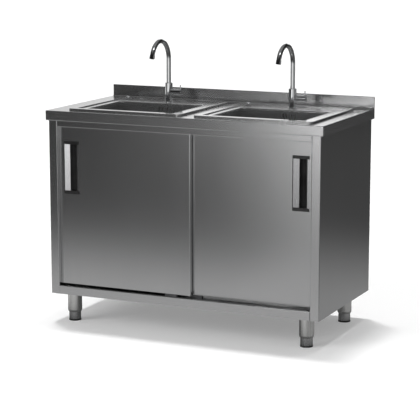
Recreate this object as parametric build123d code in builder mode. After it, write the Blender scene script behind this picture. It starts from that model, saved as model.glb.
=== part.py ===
import os

from build123d import *

os.makedirs("parts", exist_ok=True)

# Stainless steel sink cabinet: the front faces -Y, the floor is at z = 0, all sizes are millimetres

# Worktop, a folded sheet on a lining board
worktop_length = 1200
worktop_depth = 600
worktop_height = 880
worktop_edge = 40
worktop_sheet = 1.5
upstand_height = 50
upstand_depth = 8
fold_radius = 3
upstand_cove = 6
board_thickness = 18
board_gap = 2
lip_gap = 0.5

# Carcass of folded sheet
panel_sheet = 1.5
panel_fold = 3
side_overhang = 10
front_overhang = 6
stile_width = 38
stile_return = 17
fit_gap = 0.5
foot_height = 120
rail_height = 36.5
back_flange = 16
service_width = 500
service_height = 220
service_centre = 470
fascia_drop = 25
fascia_hem = 10

# Sliding doors in two lanes, hung from an upper track
door_setback = 18
door_thickness = 16
door_sheet = 1.2
door_round = 4
door_gap = 4
door_slot = 7.5
door_overlap = 74
door_cover = 8
door_travel = 475
liner_gap = 0.3

# Upper track, hangers and rollers
track_plate = 2
track_lead = 4
ledge_width = 8
roller_radius = 10
roller_width = 5
roller_headroom = 2.5
running_gap = 0.3
axle_radius = 3
axle_head = 4.5
axle_fit = 0.05
hanger_sheet = 2
hanger_width = 40
hanger_inset = 90
hanger_foot = 10
hanger_clear = 2.2
hanger_crown = 8
stop_length = 15
stop_height = 14
stop_gap = 0.5
screw_radius = 2
screw_head = 4
screw_head_height = 2.2
screw_bite = 12
screw_fit = 0.1
screw_inset = 71.5
screw_count = 4

# Floor guides that run in a groove along each door's bottom edge
guide_length = 51
guide_middle = 51
guide_width = 14
guide_base = 6
guide_fin = 4
guide_rise = 13
groove_width = 7
groove_depth = 16

# Flush handles, each a moulded pocket with a metal strip
handle_width = 70
handle_height = 217
handle_inset = 64
handle_centre = 648
handle_proud = 1.5
handle_flange = 2
cap_height = 13
cap_proud = 2
cap_overhang = 9
pocket_depth = 12
pocket_wall = 1.2
strip_width = 25
strip_slope = 6
strip_proud = 0.8
strip_seat = 9

# Sinks dropped into the worktop
sink_front = 38
sink_gap = 58
sink_shift = 12
sink_corner = 14
sink_sheet = 1.2
frame_height = 8.6
frame_width = 28
frame_round = 2.5
deck_height = 5
front_ledge = 14
side_ledge = 29
tap_ledge = 102
bowl_width = 386
bowl_depth = 310
bowl_height = 184
bowl_corner = 16
bowl_floor_round = 12
deck_corner = 8
bowl_edge_round = 5
rim_overlap = 12
cutout_corner = 16
board_cut_gap = 3
seal_gap = 0.5
clip_sheet = 1.5
clip_width = 24
clip_reach = 15
clip_gap = 5
clip_spacing = 120
clip_rows = 3

# Overflow slots and drain hole in the bowl
slot_width = 4.5
slot_height = 26
slot_inner = 12
slot_outer = 25.5
slot_top = 19
drain_radius = 45

# Waste, overflow and trap
flange_radius = 56
flange_thickness = 2
throat_radius = 40
throat_wall = 3.5
throat_depth = 23
hub_radius = 7
hub_height = 10
spider_arms = 3
spider_width = 5
spider_height = 4
thread_gap = 0.1
body_wall = 4
body_collar = 5
body_depth = 35
cone_height = 26
spigot_length = 24
pipe_radius = 20
pipe_wall = 2
pipe_insert = 14
socket_wall = 3
bend_radius = 45
branch_drop = 150
overflow_radius = 9
overflow_wall = 1.5
overflow_bend = 30
overflow_spigot = 34
overflow_insert = 16
housing_width = 72
housing_height = 44
housing_depth = 20
housing_wall = 2
trap_radius = 32
trap_wall = 3
trap_height = 100
trap_crown = 35
trap_outlet_drop = 28
trap_outlet_length = 90
trap_boss_radius = 25
trap_boss_length = 48
tee_reach = 52
cup_height = 72
cup_overlap = 12
cup_wall = 4
cup_ribs = 16
cup_rib = 2
nut_length = 20
nut_lip = 6
nut_wall = 5
nut_ribs = 8
nut_rib = 2.5

# Pop-up plug and the knob that works it
knob_inset = 15
knob_back = 93
knob_radius = 9.5
knob_height = 16
knob_skirt = 7
knob_flutes = 16
knob_flute = 0.8
spindle_radius = 5
spindle_drop = 40
bush_radius = 8
bush_flange = 10.5
bush_flange_height = 1.5
bush_length = 24
bush_nut_radius = 13
bush_nut_height = 6
running_fit = 0.06
plug_radius = 38
plug_crown = 5
plug_rim = 3
stem_radius = 4
stem_length = 26

# Side-lever taps with a swivel spout
tap_offset = 16
tap_back = 93
tap_radius = 16
tap_height = 83
tap_base_radius = 18
tap_base_height = 4
tap_hole = 14.5
shank_radius = 13
shank_length = 60
shank_wall = 3
locknut_radius = 22
locknut_height = 7
socket_depth = 22
spout_radius = 9.75
spout_wall = 2
spout_riser = 184
spout_bend = 78
spout_turn = 162
aerator_radius = 10.8
aerator_length = 14
aerator_bore = 6.5
valve_height = 45
valve_radius = 12.5
valve_reach = 45
valve_bore = 8
valve_bore_depth = 12
cap_radius = 13
cap_reach = 59
lever_offset = 54
lever_radius = 2.5
lever_length = 30
lever_tail = 2.5
lever_slot = 6
lever_slot_floor = 5
lever_slot_inset = 4
cross_pin_radius = 1.5
cross_pin_half = 8

# Adjustable feet
foot_x = 516
foot_front = 230
foot_back = 205
foot_plate_radius = 45
foot_plate = 3
sleeve_radius = 29.5
sleeve_wall = 2
sleeve_end = 36
sleeve_curl = 10
insert_radius = 24.5
insert_gap = 0.4
insert_wall = 3.5
insert_top = 100
collar_height = 5
pad_radius = 25.5
pad_height = 5
pad_groove = 2

# Levels and planes that several pieces share
top_under = worktop_height - worktop_sheet
board_under = top_under - board_thickness
edge_under = worktop_height - worktop_edge
body_x = worktop_length / 2 - side_overhang
body_y = worktop_depth / 2 - front_overhang
inner_x = body_x - panel_sheet
stile_x = body_x - stile_width
between_stiles = stile_x - fit_gap
inner_back = body_y - panel_sheet
shelf_top = foot_height + rail_height
shelf_under = shelf_top - panel_sheet
fascia_under = edge_under - fascia_drop
track_top = board_under - panel_sheet
axle_z = track_top - track_plate - roller_headroom - roller_radius
ledge_top = axle_z - roller_radius - running_gap
ledge_under = ledge_top - track_plate
door_top = ledge_under - hanger_clear - hanger_sheet
door_bottom = shelf_top + door_slot
lane_pitch = door_thickness + door_gap
front_lane = -body_y + door_setback
door_outer = stile_x + door_cover
screw_spacing = 2 * (between_stiles - screw_inset) / (screw_count - 1)
sink_width = bowl_width + 2 * (side_ledge + frame_width)
sink_depth = bowl_depth + front_ledge + tap_ledge + 2 * frame_width
sink_pitch = sink_width + sink_gap
sink_y = -worktop_depth / 2 + sink_front + sink_depth / 2
sink_back = sink_y + sink_depth / 2
deck = worktop_height + deck_height
frame_top = worktop_height + frame_height
bowl_front = -worktop_depth / 2 + sink_front + frame_width + front_ledge
bowl_y = bowl_front + bowl_depth / 2
bowl_back = bowl_front + bowl_depth
bowl_floor = deck - bowl_height
bowl_under = bowl_floor - sink_sheet
tap_y = sink_back - tap_back
knob_offset = bowl_width / 2 - knob_inset
knob_y = sink_back - knob_back
branch_z = bowl_under - body_depth - cone_height - spigot_length - branch_drop + bend_radius

# Name and side of each half: -1 is the left half
halves = (("left", -1), ("right", 1))


def sink_x(side):
    """Middle of the sink on one side."""
    return side * sink_pitch / 2 + sink_shift


def lane_face(side):
    """Front face of the door on one side: the left door runs in the front lane."""
    return front_lane if side < 0 else front_lane + lane_pitch


def save(piece, name):
    """Label a finished piece and write its file."""
    piece.part.label = name
    export_step(piece.part, f"parts/{name}.step")


def folded(points, radii, thickness, side):
    """Section of a folded sheet: a bent line, thickened to one side."""
    with BuildSketch() as section:
        with BuildLine():
            FilletPolyline(*points, radius=radii)
            offset(amount=thickness, side=side)
        make_face()
    return section.sketch


def tank(width, depth, height, corner, floor_round):
    """Rounded block with a rounded floor, its top middle at the origin."""
    with BuildPart() as block:
        with BuildSketch():
            RectangleRounded(width, depth, corner)
        extrude(amount=-height)
        fillet(block.faces().sort_by(Axis.Z)[0].edges(), radius=floor_round)
    return block.part


# Worktop: front edge, top, upstand and back edge are one folded sheet with closed ends
front_face = -worktop_depth / 2
back_face = worktop_depth / 2
upstand_face = back_face - upstand_depth
upstand_top = worktop_height + upstand_height
front_lip = (front_face + front_overhang - lip_gap, edge_under)
back_lip = (back_face - front_overhang + lip_gap, edge_under)
worktop_corners = (
    (front_face, edge_under),
    (front_face, worktop_height),
    (upstand_face, worktop_height),
    (upstand_face, upstand_top),
    (back_face, upstand_top),
    (back_face, edge_under),
)
worktop_radii = (fold_radius, fold_radius, upstand_cove, fold_radius, fold_radius, fold_radius)
with BuildPart() as worktop:
    with BuildSketch(Plane.YZ):
        add(folded((front_lip, *worktop_corners, back_lip), worktop_radii, worktop_sheet, Side.RIGHT))
    extrude(amount=worktop_length / 2, both=True)
    for end in (-1, 1):
        with BuildSketch(Plane.YZ.offset(end * worktop_length / 2)):
            with BuildLine():
                FilletPolyline(*worktop_corners, radius=worktop_radii, close=True)
            make_face()
        extrude(amount=-end * worktop_sheet)
        with BuildSketch(Plane.XY.offset(edge_under)):
            with Locations((end * (worktop_length / 2 - (side_overhang - lip_gap) / 2), 0)):
                Rectangle(side_overhang - lip_gap, worktop_depth - 2 * fold_radius)
        extrude(amount=worktop_sheet)
    with BuildSketch(Plane.XY.offset(worktop_height)):
        with Locations(*[(sink_x(side), sink_y) for name, side in halves]):
            RectangleRounded(sink_width - 2 * rim_overlap, sink_depth - 2 * rim_overlap, cutout_corner)
    extrude(amount=-worktop_edge / 2, mode=Mode.SUBTRACT)
save(worktop, "worktop")

# Lining board under the sheet, with wider cut-outs than the sheet's
board_x = worktop_length / 2 - worktop_sheet - board_gap
board_front = front_face + worktop_sheet + board_gap
board_back = upstand_face - board_gap
board_cut_width = sink_width - 2 * rim_overlap + 2 * board_cut_gap
board_cut_depth = sink_depth - 2 * rim_overlap + 2 * board_cut_gap
lane_screws = [front_lane + screw_head / 2, front_lane + lane_pitch + screw_head / 2]
screw_places = [
    (screw_spacing * (i - (screw_count - 1) / 2), y) for y in lane_screws for i in range(screw_count)
]
with BuildPart() as worktop_board:
    with BuildSketch(Plane.XY.offset(board_under)):
        with Locations((0, (board_front + board_back) / 2)):
            Rectangle(2 * board_x, board_back - board_front)
        with Locations(*[(sink_x(side), sink_y) for name, side in halves]):
            RectangleRounded(board_cut_width, board_cut_depth, cutout_corner, mode=Mode.SUBTRACT)
    extrude(amount=board_thickness)
    with BuildSketch(Plane.XY.offset(board_under)):
        with Locations(*screw_places):
            Circle(screw_radius + screw_fit)
    extrude(amount=screw_bite + screw_fit, mode=Mode.SUBTRACT)
save(worktop_board, "worktop_board")

# Side panels: stile, outer wall and back return in one fold
for name, side in halves:
    panel_points = (
        (side * stile_x, -body_y + stile_return),
        (side * stile_x, -body_y),
        (side * body_x, -body_y),
        (side * body_x, body_y),
        (side * stile_x, body_y),
    )
    inward = Side.LEFT if side > 0 else Side.RIGHT
    with BuildPart() as side_panel:
        with BuildSketch(Plane.XY.offset(foot_height)):
            add(folded(panel_points, panel_fold, panel_sheet, inward))
        extrude(amount=board_under - foot_height)
    save(side_panel, f"{name}_side_panel")

# Bottom shelf: a pan whose front fold shows as the bottom rail between the stiles
notch_y = -body_y + stile_return + fit_gap
with BuildPart() as bottom_shelf:
    with BuildSketch(Plane.XY.offset(foot_height)):
        with BuildLine():
            Polyline(
                (between_stiles, -body_y),
                (between_stiles, notch_y),
                (inner_x, notch_y),
                (inner_x, inner_back),
                (-inner_x, inner_back),
                (-inner_x, notch_y),
                (-between_stiles, notch_y),
                (-between_stiles, -body_y),
                close=True,
            )
        make_face()
    extrude(amount=rail_height)
    fillet(bottom_shelf.edges().filter_by(Axis.Z).group_by(Axis.Y)[-1], radius=panel_fold)
    front_fold = bottom_shelf.edges().filter_by(Axis.X).group_by(Axis.Y)[0].sort_by(Axis.Z)[-1]
    fillet(front_fold, radius=panel_fold)
    offset(amount=-panel_sheet, openings=bottom_shelf.faces().sort_by(Axis.Z)[0], kind=Kind.INTERSECTION)
save(bottom_shelf, "bottom_shelf")

# Back panel with a service opening for the pipes
with BuildPart() as back_panel:
    back_points = (
        (inner_back - back_flange, shelf_top),
        (inner_back, shelf_top),
        (inner_back, board_under),
        (inner_back - back_flange, board_under),
    )
    with BuildSketch(Plane.YZ):
        add(folded(back_points, panel_fold, panel_sheet, Side.LEFT))
    extrude(amount=inner_x - panel_fold, both=True)
    with BuildSketch(Plane.XZ.offset(-inner_back)):
        with Locations((0, service_centre)):
            Rectangle(service_width, service_height)
    extrude(amount=panel_sheet, mode=Mode.SUBTRACT)
save(back_panel, "back_panel")

# Fascia between the stiles, with a flange over the track
track_front = front_lane - track_lead
track_back = front_lane + lane_pitch + door_thickness + track_plate
with BuildPart() as fascia:
    fascia_points = (
        (-body_y + fascia_hem, fascia_under),
        (-body_y, fascia_under),
        (-body_y, board_under),
        (track_back, board_under),
    )
    with BuildSketch(Plane.YZ):
        add(folded(fascia_points, panel_fold, panel_sheet, Side.RIGHT))
    extrude(amount=between_stiles, both=True)
    with BuildSketch(Plane.XY.offset(track_top)):
        with Locations(*screw_places):
            Circle(screw_radius + screw_fit)
    extrude(amount=panel_sheet, mode=Mode.SUBTRACT)
save(fascia, "fascia")

# Upper track: a plate with one J-shaped rail for each lane
with BuildPart() as upper_track:
    with BuildSketch(Plane.YZ):
        with Locations((track_front, track_top)):
            Rectangle(track_back - track_front, track_plate, align=(Align.MIN, Align.MAX))
        for name, side in halves:
            rail_back = lane_face(side) + door_thickness
            with BuildLine():
                Polyline(
                    (rail_back, track_top),
                    (rail_back, ledge_top),
                    (rail_back - ledge_width, ledge_top),
                    (rail_back - ledge_width, ledge_under),
                    (rail_back + track_plate, ledge_under),
                    (rail_back + track_plate, track_top),
                    close=True,
                )
            make_face()
    extrude(amount=between_stiles, both=True)
    with BuildSketch(Plane.XY.offset(track_top)):
        with Locations(*screw_places):
            Circle(screw_radius + screw_fit)
    extrude(amount=-track_plate, mode=Mode.SUBTRACT)
save(upper_track, "upper_track")

# Screws that hold the track and fascia up to the lining board
with BuildPart() as track_screws:
    with BuildSketch(Plane.XY.offset(track_top - track_plate)):
        with Locations(*screw_places):
            Circle(screw_head)
    extrude(amount=-screw_head_height)
    with BuildSketch(Plane.XY.offset(track_top - track_plate)):
        with Locations(*screw_places):
            Circle(screw_radius)
    extrude(amount=track_plate + panel_sheet + screw_bite)
save(track_screws, "track_screws")


def door_ends(side):
    """Left and right edges of the closed door on one side."""
    ends = (-door_outer, door_overlap / 2)
    return ends if side < 0 else (-ends[1], -ends[0])


def hanger_places(side):
    """Roller axes along the closed door on one side."""
    left, right = door_ends(side)
    return (left + hanger_inset, right - hanger_inset)


# Rubber stops on the rails, one at each end of each door's travel
with BuildPart() as track_stops:
    for name, side in halves:
        near, far = hanger_places(side) if side < 0 else hanger_places(side)[::-1]
        reach = roller_radius + stop_gap + stop_length / 2
        stop_y = lane_face(side) + door_thickness - ledge_width / 2
        with BuildSketch(Plane.XY.offset(ledge_top)):
            with Locations(
                (near + side * reach, stop_y),
                (far - side * (door_travel + reach), stop_y),
            ):
                Rectangle(stop_length, ledge_width - 2 * fit_gap)
        extrude(amount=stop_height)
save(track_stops, "track_stops")

# Nylon floor guides, one under each door
with BuildPart() as floor_guides:
    for name, side in halves:
        guide_x = side * guide_middle
        guide_y = lane_face(side) + door_thickness / 2
        with BuildSketch(Plane.YZ.offset(guide_x - guide_length / 2)):
            with BuildLine():
                Polyline(
                    (guide_y - guide_width / 2, shelf_top),
                    (guide_y - guide_width / 2, shelf_top + guide_base),
                    (guide_y - guide_fin / 2, shelf_top + guide_base),
                    (guide_y - guide_fin / 2, shelf_top + guide_base + guide_rise),
                    (guide_y + guide_fin / 2, shelf_top + guide_base + guide_rise),
                    (guide_y + guide_fin / 2, shelf_top + guide_base),
                    (guide_y + guide_width / 2, shelf_top + guide_base),
                    (guide_y + guide_width / 2, shelf_top),
                    close=True,
                )
            make_face()
        extrude(amount=guide_length)
save(floor_guides, "floor_guides")

# Doors: a folded outer panel, a liner, a flush handle, two hangers and two rollers each
door_height = door_top - door_bottom
door_middle_z = (door_top + door_bottom) / 2
pocket_width = handle_width - cap_overhang
for name, side in halves:
    door_left, door_right = door_ends(side)
    door_width = door_right - door_left
    door_x = (door_left + door_right) / 2
    face_y = lane_face(side)
    back_y = face_y + door_thickness
    face_plane = Plane.XZ.offset(-face_y)
    handle_x = side * (door_outer - handle_inset)
    pocket_x = handle_x - cap_overhang / 2

    with BuildPart() as door_panel:
        with BuildSketch(face_plane):
            with Locations((door_x, door_middle_z)):
                Rectangle(door_width, door_height)
        extrude(amount=-door_thickness)
        fillet(door_panel.edges().filter_by(Axis.Z), radius=door_round)
        with BuildSketch(Plane.XY.offset(door_bottom + door_sheet)):
            with Locations((door_x, face_y + door_thickness / 2)):
                hollow_depth = door_thickness - 2 * door_sheet
                RectangleRounded(door_width - 2 * door_sheet, hollow_depth, door_round - door_sheet)
        extrude(amount=door_height - 2 * door_sheet, mode=Mode.SUBTRACT)
        with BuildSketch(Plane.XZ.offset(-back_y)):
            with Locations((door_x, door_middle_z)):
                Rectangle(door_width - 2 * door_round, door_height - 2 * door_sheet)
        extrude(amount=door_sheet, mode=Mode.SUBTRACT)
        with BuildSketch(Plane.XY.offset(door_bottom)):
            with Locations((door_x, face_y + door_thickness / 2)):
                Rectangle(door_width, groove_width)
        extrude(amount=groove_depth, mode=Mode.SUBTRACT)
        with BuildSketch(face_plane):
            with Locations((pocket_x, handle_centre)):
                Rectangle(pocket_width - 2 * handle_flange, handle_height - 2 * handle_flange)
        extrude(amount=-door_sheet, mode=Mode.SUBTRACT)
    save(door_panel, f"{name}_door_panel")

    with BuildPart() as door_liner:
        liner_width = door_width - 2 * (door_round + liner_gap)
        with BuildSketch(Plane.XZ.offset(-back_y)):
            with Locations((door_x, door_middle_z)):
                Rectangle(liner_width, door_height - 2 * (door_sheet + liner_gap))
        extrude(amount=door_sheet)
    save(door_liner, f"{name}_door_liner")

    # The pocket's section is constant between its end caps, which reach over the door on the right
    pocket_left = handle_x - handle_width / 2
    strip_left = pocket_left + handle_flange + pocket_wall
    strip_right = strip_left + strip_width
    trough_right = pocket_left + pocket_width - handle_flange - pocket_wall
    trough_half = (trough_right - strip_right) / 2
    trough_depth = pocket_depth - pocket_wall
    trough_radius = (trough_half**2 + trough_depth**2) / (2 * trough_depth)
    handle_low = handle_centre - handle_height / 2
    with BuildPart() as handle_pocket:
        with BuildSketch(Plane.XY.offset(handle_low + handle_flange)):
            with Locations((pocket_x, face_y)):
                Rectangle(pocket_width, handle_proud, align=(Align.CENTER, Align.MAX))
                Rectangle(pocket_width - 2 * handle_flange, pocket_depth, align=(Align.CENTER, Align.MIN))
            with Locations((strip_right + trough_half, face_y + trough_depth - trough_radius)):
                Circle(trough_radius, mode=Mode.SUBTRACT)
            with Locations((strip_left, face_y + strip_seat)):
                Rectangle(
                    strip_width, strip_seat + handle_proud, align=(Align.MIN, Align.MAX), mode=Mode.SUBTRACT
                )
        extrude(amount=handle_height - 2 * handle_flange)
        for cap_low in (handle_low, handle_low + handle_height - cap_height):
            with BuildSketch(Plane.XY.offset(cap_low)):
                with Locations((handle_x, face_y)):
                    Rectangle(handle_width, cap_proud, align=(Align.CENTER, Align.MAX))
            extrude(amount=cap_height)
        for cap_low in (handle_low + handle_flange, handle_low + handle_height - cap_height):
            with BuildSketch(Plane.XY.offset(cap_low)):
                with Locations((pocket_x, face_y)):
                    Rectangle(
                        pocket_width - 2 * handle_flange, pocket_depth, align=(Align.CENTER, Align.MIN)
                    )
            extrude(amount=cap_height - handle_flange)
    save(handle_pocket, f"{name}_handle_pocket")

    with BuildPart() as handle_strip:
        with BuildSketch(Plane.XY.offset(handle_low + cap_height)):
            with BuildLine():
                Polyline(
                    (strip_left, face_y + strip_seat),
                    (strip_left, face_y - strip_proud),
                    (strip_right, face_y + strip_slope),
                    (strip_right, face_y + strip_seat),
                    close=True,
                )
            make_face()
        extrude(amount=handle_height - 2 * cap_height)
    save(handle_strip, f"{name}_handle_strip")

    # Hanger: a foot on the door's top, an upright plate and a shouldered axle
    plate_back = back_y - ledge_width - hanger_sheet
    plate_front = plate_back - hanger_sheet
    roller_front = back_y - ledge_width / 2 - roller_width / 2
    roller_back = roller_front + roller_width
    with BuildPart() as door_hangers:
        for hanger_x in hanger_places(side):
            with BuildSketch(Plane.YZ.offset(hanger_x - hanger_width / 2)):
                with BuildLine():
                    Polyline(
                        (plate_front, door_top),
                        (plate_front, axle_z + hanger_crown),
                        (plate_back, axle_z + hanger_crown),
                        (plate_back, door_top + hanger_sheet),
                        (plate_front + hanger_foot, door_top + hanger_sheet),
                        (plate_front + hanger_foot, door_top),
                        close=True,
                    )
                make_face()
            extrude(amount=hanger_width)
            with BuildSketch(Plane.XZ.offset(-plate_back)):
                with Locations((hanger_x, axle_z)):
                    Circle(axle_head)
            extrude(amount=plate_back - roller_front + running_gap)
            with BuildSketch(Plane.XZ.offset(-plate_back)):
                with Locations((hanger_x, axle_z)):
                    Circle(axle_radius)
            extrude(amount=plate_back - roller_back - 2 * running_gap)
            with BuildSketch(Plane.XZ.offset(-roller_back - running_gap)):
                with Locations((hanger_x, axle_z)):
                    Circle(axle_head)
            extrude(amount=-running_gap)
    save(door_hangers, f"{name}_door_hangers")

    for end_name, hanger_x in zip(("left", "right"), hanger_places(side)):
        with BuildPart() as roller:
            with BuildSketch(Plane.XZ.offset(-roller_front)):
                with Locations((hanger_x, axle_z)):
                    Circle(roller_radius)
                    Circle(axle_radius + axle_fit, mode=Mode.SUBTRACT)
            extrude(amount=-roller_width)
        save(roller, f"{name}_door_{end_name}_roller")

# Sinks: raised frame, sunk deck and a deep bowl pressed from one sheet
bowl_block = tank(bowl_width, bowl_depth, bowl_height, bowl_corner, bowl_floor_round)
shell_block = tank(
    bowl_width + 2 * sink_sheet,
    bowl_depth + 2 * sink_sheet,
    bowl_height + sink_sheet,
    bowl_corner + sink_sheet,
    bowl_floor_round + sink_sheet,
)
deck_width = sink_width - 2 * frame_width
deck_depth = sink_depth - 2 * frame_width
inside_width = sink_width - 2 * sink_sheet
inside_depth = sink_depth - 2 * sink_sheet
for name, side in halves:
    x = sink_x(side)
    with BuildPart() as sink:
        with BuildSketch(Plane.XY.offset(worktop_height)):
            with Locations((x, sink_y)):
                RectangleRounded(sink_width, sink_depth, sink_corner)
        extrude(amount=frame_height)
        fillet(sink.faces().sort_by(Axis.Z)[-1].edges(), radius=frame_round)
        with BuildSketch(Plane.XY.offset(frame_top)):
            with Locations((x, sink_y)):
                RectangleRounded(deck_width, deck_depth, deck_corner)
        extrude(amount=deck - frame_top, mode=Mode.SUBTRACT)
        with BuildSketch(Plane.XY.offset(worktop_height)):
            with Locations((x, sink_y)):
                RectangleRounded(inside_width, inside_depth, sink_corner - sink_sheet)
        extrude(amount=deck_height - sink_sheet, mode=Mode.SUBTRACT)
        with BuildSketch(Plane.XY.offset(deck - sink_sheet)):
            with Locations((x, sink_y)):
                RectangleRounded(inside_width, inside_depth, sink_corner - sink_sheet)
                RectangleRounded(
                    deck_width + 2 * sink_sheet,
                    deck_depth + 2 * sink_sheet,
                    deck_corner + sink_sheet,
                    mode=Mode.SUBTRACT,
                )
        extrude(amount=frame_height - deck_height, mode=Mode.SUBTRACT)
        with Locations((x, bowl_y, deck)):
            add(shell_block)
        bend_level = deck - sink_sheet
        bend_edges = [
            edge
            for edge in sink.edges()
            if abs(edge.center().Z - bend_level) < sink_sheet / 10
            and abs(edge.center().X - x) < bowl_width / 2 + 2 * sink_sheet
            and abs(edge.center().Y - bowl_y) < bowl_depth / 2 + 2 * sink_sheet
        ]
        fillet(bend_edges, radius=bowl_edge_round)
        with Locations((x, bowl_y, deck)):
            add(bowl_block, mode=Mode.SUBTRACT)
        rim_edges = [
            edge
            for edge in sink.edges()
            if abs(edge.center().Z - deck) < sink_sheet / 10
            and abs(edge.center().X - x) < bowl_width / 2 + sink_sheet
            and abs(edge.center().Y - bowl_y) < bowl_depth / 2 + sink_sheet
        ]
        fillet(rim_edges, radius=bowl_edge_round + sink_sheet)
        with BuildSketch(Plane.XY.offset(bowl_floor)):
            with Locations((x, bowl_y)):
                Circle(drain_radius)
        extrude(amount=-2 * sink_sheet, mode=Mode.SUBTRACT)
        with BuildSketch(Plane.XZ.offset(-bowl_back - 2 * sink_sheet)):
            with Locations(
                *[
                    (x + tap_offset + place, deck - slot_top - slot_height / 2)
                    for place in (-slot_outer, -slot_inner, slot_inner, slot_outer)
                ]
            ):
                SlotOverall(slot_height, slot_width, rotation=90)
        extrude(amount=4 * sink_sheet, mode=Mode.SUBTRACT)
        with BuildSketch(Plane.XY.offset(deck)):
            with Locations((x + tap_offset, tap_y)):
                Circle(tap_hole)
            with Locations((x - knob_offset, knob_y)):
                Circle(bush_radius)
        extrude(amount=-sink_sheet, mode=Mode.SUBTRACT)
    save(sink, f"{name}_sink")

# Foam seals under the sinks' frames
with BuildPart() as sink_seals:
    for name, side in halves:
        seal_inset = 2 * (sink_sheet + seal_gap)
        with BuildSketch(Plane.XY.offset(worktop_height)):
            with Locations((sink_x(side), sink_y)):
                RectangleRounded(
                    sink_width - seal_inset, sink_depth - seal_inset, sink_corner - seal_inset / 2
                )
                RectangleRounded(
                    sink_width - 2 * rim_overlap,
                    sink_depth - 2 * rim_overlap,
                    cutout_corner,
                    mode=Mode.SUBTRACT,
                )
        extrude(amount=frame_height - sink_sheet)
save(sink_seals, "sink_seals")

# Fixing clips: from under the deck down through the cut-out and out under the board
clip_top = deck - sink_sheet
clip_inner = bowl_width / 2 + sink_sheet + bowl_edge_round
clip_wall = sink_width / 2 - rim_overlap - clip_gap
clip_points = (
    (clip_inner, clip_top - clip_sheet),
    (clip_wall - clip_sheet, clip_top - clip_sheet),
    (clip_wall - clip_sheet, board_under - clip_sheet),
    (clip_wall + clip_gap + board_cut_gap + clip_reach, board_under - clip_sheet),
)
with BuildPart() as clip:
    with BuildSketch(Plane.XZ):
        add(folded(clip_points, clip_sheet, clip_sheet, Side.LEFT))
    extrude(amount=clip_width / 2, both=True)
with BuildPart() as sink_clips:
    for name, side in halves:
        for turn in (0, 180):
            for row in range(clip_rows):
                row_y = bowl_y + clip_spacing * (row - (clip_rows - 1) / 2)
                with Locations(Location((sink_x(side), row_y, 0), (0, 0, turn))):
                    add(clip.part)
save(sink_clips, "sink_clips")

# Wastes: a flange in each bowl's drain hole, screwed into a body that clamps the bowl
body_bore = throat_radius + throat_wall + thread_gap
body_radius = body_bore + body_wall
spigot_bore = pipe_radius + thread_gap
spigot_radius = spigot_bore + socket_wall
cone_top = bowl_under - body_depth
cone_bottom = cone_top - cone_height
spigot_end = cone_bottom - spigot_length
overflow_z = cone_top + overflow_radius - cone_height / 4
overflow_y = bowl_back + sink_sheet + housing_depth / 2
with BuildPart() as flange:
    with BuildSketch(Plane.XZ):
        with BuildLine():
            Polyline(
                (throat_radius, bowl_floor - throat_depth),
                (throat_radius, bowl_floor + flange_thickness / 2),
                (throat_radius + flange_thickness, bowl_floor + flange_thickness),
                (flange_radius - flange_thickness, bowl_floor + flange_thickness),
                (flange_radius, bowl_floor),
                (throat_radius + throat_wall, bowl_floor),
                (throat_radius + throat_wall, bowl_floor - throat_depth),
                close=True,
            )
        make_face()
    revolve(axis=Axis.Z)
    with BuildSketch(Plane.XY.offset(bowl_floor - throat_depth)):
        with PolarLocations(0, spider_arms):
            Rectangle(throat_radius + throat_wall / 2, spider_width, align=(Align.MIN, Align.CENTER))
    extrude(amount=spider_height)
    with BuildSketch(Plane.XY.offset(bowl_floor - throat_depth)):
        Circle(hub_radius)
    extrude(amount=hub_height)
    with BuildSketch(Plane.XY.offset(bowl_floor - throat_depth)):
        Circle(stem_radius + running_fit)
    extrude(amount=hub_height, mode=Mode.SUBTRACT)
with BuildPart() as waste_flanges:
    with Locations(*[(sink_x(side), bowl_y, 0) for name, side in halves]):
        add(flange.part)
save(waste_flanges, "waste_flanges")

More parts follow.
